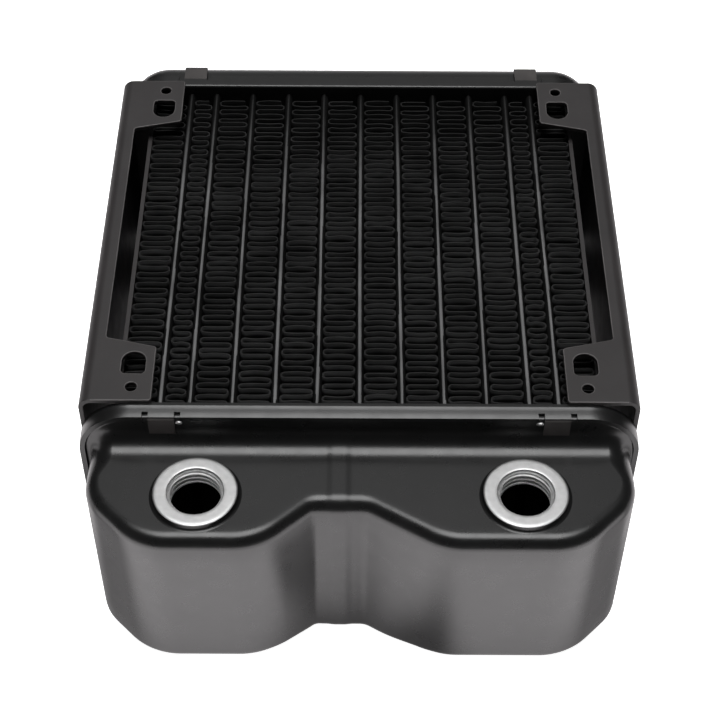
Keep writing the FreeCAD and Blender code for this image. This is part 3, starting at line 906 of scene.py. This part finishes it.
def build_fin_strip(number):
    """Folded foil between two tubes: uneven folds, edges knocked slightly out of line."""
    node = f"fin_strip_{number:02d}"
    low, high = node_box(node)
    walls = round((high.y - low.y) / FIN_PITCH) + 1
    first_y = (low.y + high.y) / 2 - FIN_PITCH * (walls - 1) / 2
    middle_z = (low.z + high.z) / 2
    dice = random.Random(FIN_SEED + number)
    lean = [dice.uniform(-FIN_LEAN, FIN_LEAN) for _ in range(walls)]
    bow = [dice.uniform(-FIN_BOW, FIN_BOW) for _ in range(walls)]
    shift = [dice.uniform(-FIN_SHIFT, FIN_SHIFT) for _ in range(walls)]
    sag = [dice.uniform(0.0, FIN_SAG) for _ in range(walls)]
    path = fold_path(low.x + FIN_T / 2, high.x - FIN_T / 2, first_y, shift, bow)
    levels = [low.z, *(low.z + row for row in FIN_EDGE_ROWS), middle_z,
              *(high.z - row for row in reversed(FIN_EDGE_ROWS)), high.z]
    points = []
    loops = []
    for z in levels:
        near_face = smooth_step(1 - min(z - low.z, high.z - z) / FIN_EDGE_REACH)
        inwards = 1 if z < middle_z else -1
        loop = []
        for x, y, along in path:
            wall = int(along)
            t = along - wall
            following = min(wall + 1, walls - 1)
            lean_here = lean[wall] * (1 - t) + lean[following] * t
            sag_here = sag[wall] * (1 - t) + sag[following] * t
            points.append((x, y + lean_here * near_face, z + sag_here * near_face * inwards))
            loop.append(len(points) - 1)
        loops.append(loop)
    obj = new_object(f"folded_fin_{number:02d}", mesh_from(node, points, strip_faces(loops, closed=False)))
    foil = obj.modifiers.new("foil", "SOLIDIFY")
    foil.thickness = FIN_T * MM
    foil.offset = 0
    apply_modifiers(obj)
    finish_piece(obj, [FIN_WALL_PAINTED_LIGHT, FIN_EDGE_PAINT], [node])
    # faces that look up or down get the dark edge paint, the walls the painted light and shade
    for polygon in obj.data.polygons:
        polygon.material_index = 1 if abs(polygon.normal.z) > 0.5 else 0


def random_waves(dice, size, length):
    """Size, length and start of each of a tube's waves."""
    return [(dice.uniform(*size), dice.uniform(*length), dice.uniform(0, WAVE_START))
            for _ in range(TUBE_WAVES)]


def wave_height(waves, y):
    return sum(size * math.sin(y / length + start) for size, length, start in waves)


def build_tube(row, number):
    """Flat tube standing on edge, its two edges pinched to a slightly wavy crest."""
    node = f"tube_{row}_{number:02d}"
    low, high = node_box(node)
    middle = (low + high) / 2
    half = (high.x - low.x) / 2
    dice = random.Random(TUBE_SEEDS[row] + number)
    sways = random_waves(dice, TUBE_SWAY, TUBE_SWAY_LENGTH)
    dips = random_waves(dice, TUBE_DIP, TUBE_DIP_LENGTH)

    # Section: across, beyond the straight wall's end, and 1 at the upper edge or -1 at the lower
    section = []
    for k in range(TUBE_EDGE_STEPS * 2 + 1):
        a = math.pi * k / (TUBE_EDGE_STEPS * 2)
        section.append((half * math.cos(a), TUBE_EDGE * math.sin(a) ** TUBE_EDGE_EASE, 1))
    section += [(-x, -lift, -1) for x, lift, _ in section]
    points = []
    loops = []
    for station in range(TUBE_STATIONS + 1):
        y = low.y + (high.y - low.y) * station / TUBE_STATIONS
        sway = wave_height(sways, y)
        dip = -abs(wave_height(dips, y))
        loop = []
        for x, lift, edge in section:
            wall_end = (high.z if edge > 0 else low.z) - edge * TUBE_EDGE
            pinch = abs(lift) / TUBE_EDGE
            points.append((middle.x + x + sway * pinch, y, wall_end + lift + edge * dip * pinch))
            loop.append(len(points) - 1)
        loops.append(loop)
    faces = strip_faces(loops, closed=True)
    faces += [tuple(loops[0]), tuple(reversed(loops[-1]))]
    obj = new_object(f"flat_tube_{row}_{number:02d}", mesh_from(node, points, faces))
    finish_piece(obj, [TUBE_PAINT, TUBE_CREST_HIGHLIGHT], [node])
    # a narrow strip along each crest gets the painted highlight and painted shadow
    for polygon in obj.data.polygons:
        place = polygon.center / MM
        at_edge = abs(place.z - middle.z) > (high.z - low.z) / 2 - TUBE_EDGE
        polygon.material_index = 1 if at_edge and abs(place.x - middle.x) < CREST_HALF else 0


# ------------------------------------------------------- pans and side plates

core_low, core_high = node_box("left_core_sheet")


def on_tab(point, _):
    """True on a folded or straight crimp tab."""
    front_end = core_low.y - PAN_DEPTH + FRONT_TAB_START
    back_start = core_high.y + PAN_DEPTH - BACK_TAB_START
    beside = abs(abs(point.x) - TAB_X) < TAB_WIDTH / 2 + TAB_MARGIN
    return beside and (point.y < front_end or point.y > back_start)


def on_ear_edge(point, normal):
    """True on the rounded cut edges of the fan ears and their holes, which get a painted highlight."""
    least, most = EAR_EDGE_SLOPES
    return least < abs(normal.z) < most and abs(point.x) < PAN_HALF_WIDTH - EAR_EDGE_INSET


def shape_front_pan(bm):
    """The rim's rear edge reaches a little over the core, and its front leans inwards in a soft wave."""
    for vert in bm.verts:
        if vert.co.y / MM > core_low.y - RIM_EDGE_DEPTH:
            vert.co.y += RIM_OVER_CORE * MM
    lean_inwards(bm, core_low.y - RIM_BEND, FRONT_RIM_SLOPES, FRONT_RIM_STEP, FRONT_RIM_SHORTER)


def shape_back_pan(bm):
    """The rim is slightly waved along its length."""
    lean_inwards(bm, core_high.y + RIM_BEND, BACK_RIM_SLOPES, BACK_RIM_STEP)


def dress_carried_nodes():
    """Gives the CAD nodes that nothing replaces their materials."""
    for name, node in frame["nodes"].items():
        if node.hide_render:
            continue
        finish = TUBE_PAINT
        if name == "tank_divider":
            finish = BRASS
        elif name.endswith("core_sheet"):
            finish = PLATE_PAINT
        for material_slot in node.material_slots:
            material_slot.material = finish


# ----------------------------------------------------------------------- build

build_port_tank()
build_port_bung("port_ring_left", "left_port_bung")
build_port_bung("port_ring_right", "right_port_bung")
build_solder_drop("solder_drop_left", -1)
build_solder_drop("solder_drop_right", 1)
for fin_number in range(1, 13):
    build_fin_strip(fin_number)
for tube_row in ("lower", "upper"):
    for tube_number in range(1, 12):
        build_tube(tube_row, tube_number)
softened_copy("pan_front", "front_header", FRONT_PAN_EDGE, [PAN_PAINT, TAB_PAINT],
              reshape=shape_front_pan, second=on_tab)
softened_copy("pan_back", "back_header", BACK_PAN_EDGE, [PAN_PAINT, TAB_PAINT],
              reshape=shape_back_pan, second=on_tab)
softened_copy("return_tank", "back_tank", RETURN_TANK_EDGE, [TANK_PAINT])
for side_name in ("left", "right"):
    softened_copy(f"plate_{side_name}", f"{side_name}_side_plate", PLATE_EDGE,
                  [PLATE_PAINT, EAR_EDGE_HIGHLIGHT], second=on_ear_edge, clamp=False)
dress_carried_nodes()


# ------------------------------------------------------- stage, light, camera

def flat_square(name, drop, material):
    """Wide square just under the object's lowest point."""
    mesh = bpy.data.meshes.new(name)
    corners = [(-1, -1), (1, -1), (1, 1), (-1, 1)]
    mesh.from_pydata([(x * FLOOR_REACH, y * FLOOR_REACH, 0) for x, y in corners], [], [(0, 1, 2, 3)])
    mesh.materials.append(material)
    square = new_object(name, mesh)
    square.location.z = -drop
    return square


def build_floor():
    """Wide pale floor, evenly bright."""
    material, _ = new_material("pale_floor", {
        "Base Color": (0.86, 0.86, 0.86, 1), "Roughness": 0.8,
        "Emission Color": (1, 1, 1, 1), "Emission Strength": FLOOR_GLOW})
    flat_square("floor", FLOOR_DROP, material)


def build_reflection_card():
    """Glowing card over the floor that only reflections see: brightest in front, dim at the sides."""
    material, tree = new_material("card_glow", {
        "Base Color": (0, 0, 0, 1), "Specular IOR Level": 0.0, "Emission Color": (1, 0.965, 0.98, 1)})
    place = object_place(tree)
    y = axis_of(tree, place, "Y")
    sideways = arithmetic(tree, "ABSOLUTE", axis_of(tree, place, "X"))
    wings = smooth_range(tree, sideways, CARD_WINGS, CARD_LEVELS["sides"], CARD_LEVELS["wings"])
    glow = smooth_range(tree, y, CARD_WINGS_REAR, CARD_LEVELS["sides"], wings)
    glow = smooth_range(tree, y, CARD_EDGE, glow, CARD_LEVELS["edge"])
    glow = smooth_range(tree, y, CARD_FRONT, glow, CARD_LEVELS["front"])
    shade_x, shade_y = CARD_GAP_SHADE
    stretched = vector_arithmetic(tree, "MULTIPLY", place, (1, CARD_GAP_STRETCH, 1)).outputs["Vector"]
    shade_place = (shade_x * MM, shade_y * CARD_GAP_STRETCH * MM, 0)
    from_shade = vector_arithmetic(tree, "DISTANCE", stretched, shade_place).outputs["Value"]
    glow = smooth_range(tree, from_shade, CARD_GAP_REACH, CARD_GAP_LEVEL, glow)
    glow = smooth_range(tree, y, CARD_FAR, glow, CARD_LEVELS["far"])
    glow = smooth_range(tree, y, CARD_BEHIND, glow, CARD_LEVELS["behind"])
    set_inputs(tree.nodes["Principled BSDF"], {"Emission Strength": glow})
    card = flat_square("reflection_card", CARD_DROP, material)
    card.visible_camera = False
    card.visible_diffuse = False
    card.visible_transmission = False
    card.visible_shadow = False


def build_backdrop():
    """White studio wall all round, which only the camera sees, so that it lights nothing."""
    bm = bmesh.new()
    bmesh.ops.create_cone(bm, cap_ends=False, segments=64, radius1=BACKDROP_R, radius2=BACKDROP_R,
                          depth=BACKDROP_HEIGHT)
    backdrop = new_object("backdrop", mesh_from_bmesh("backdrop", bm))
    material, _ = new_material("white_backdrop", {
        "Base Color": (1, 1, 1, 1), "Emission Color": (1, 1, 1, 1), "Emission Strength": BACKDROP_GLOW})
    backdrop.data.materials.append(material)
    backdrop.visible_diffuse = False
    backdrop.visible_glossy = False
    backdrop.visible_transmission = False
    backdrop.visible_shadow = False


def build_overhead_softbox():
    """Large round softbox straight overhead, far enough away to light the whole floor evenly."""
    data = bpy.data.lights.new("overhead_softbox", "SUN")
    data.energy = OVERHEAD_POWER
    data.angle = math.radians(OVERHEAD_ANGLE)
    new_object("overhead_softbox", data)


def build_world():
    """Dark studio with a narrow tall panel behind the object, brightest high up."""
    world = bpy.data.worlds.new("studio")
    bpy.context.scene.world = world
    world.use_nodes = True
    tree = world.node_tree
    direction = add_node(tree, "TexCoord", {}).outputs["Generated"]
    x, y, z = [axis_of(tree, direction, axis) for axis in "XYZ"]
    turn = math.radians(PANEL_TURN)
    flat = arithmetic(tree, "SQRT", arithmetic(tree, "SUBTRACT", 1.0001, arithmetic(tree, "POWER", z, 2.0)))
    towards = arithmetic(tree, "ADD", arithmetic(tree, "MULTIPLY", x, math.sin(turn)),
                         arithmetic(tree, "MULTIPLY", y, math.cos(turn)))
    from_middle = arithmetic(tree, "MAXIMUM", arithmetic(tree, "DIVIDE", towards, flat), 0.0)
    across = grey_ramp(tree, from_middle, PANEL_ACROSS)
    upwards = grey_ramp(tree, z, PANEL_UPWARDS)
    strength = arithmetic(tree, "ADD", arithmetic(tree, "MULTIPLY", across, upwards), STUDIO_DIM)
    set_inputs(tree.nodes["Background"], {"Color": (1, 1, 1, 1), "Strength": strength})


def build_camera():
    data = bpy.data.cameras.new("camera")
    data.sensor_width = 36.0
    data.lens = CAMERA_LENS
    data.clip_start = 0.01
    camera = new_object("camera", data)
    yaw = Matrix.Rotation(-math.radians(CAMERA_YAW), 3, "Z")
    tilt = Matrix.Rotation(QUARTER - math.radians(CAMERA_PITCH), 3, "X")
    roll = Matrix.Rotation(math.radians(CAMERA_ROLL), 3, "Z")
    camera.rotation_euler = (yaw @ tilt @ roll).to_euler()
    camera.location = CAMERA_PLACE
    bpy.context.scene.camera = camera


build_floor()
build_reflection_card()
build_backdrop()
build_overhead_softbox()
build_world()
build_camera()
bpy.context.scene.view_settings.view_transform = "Standard"

bpy.context.view_layer.update()
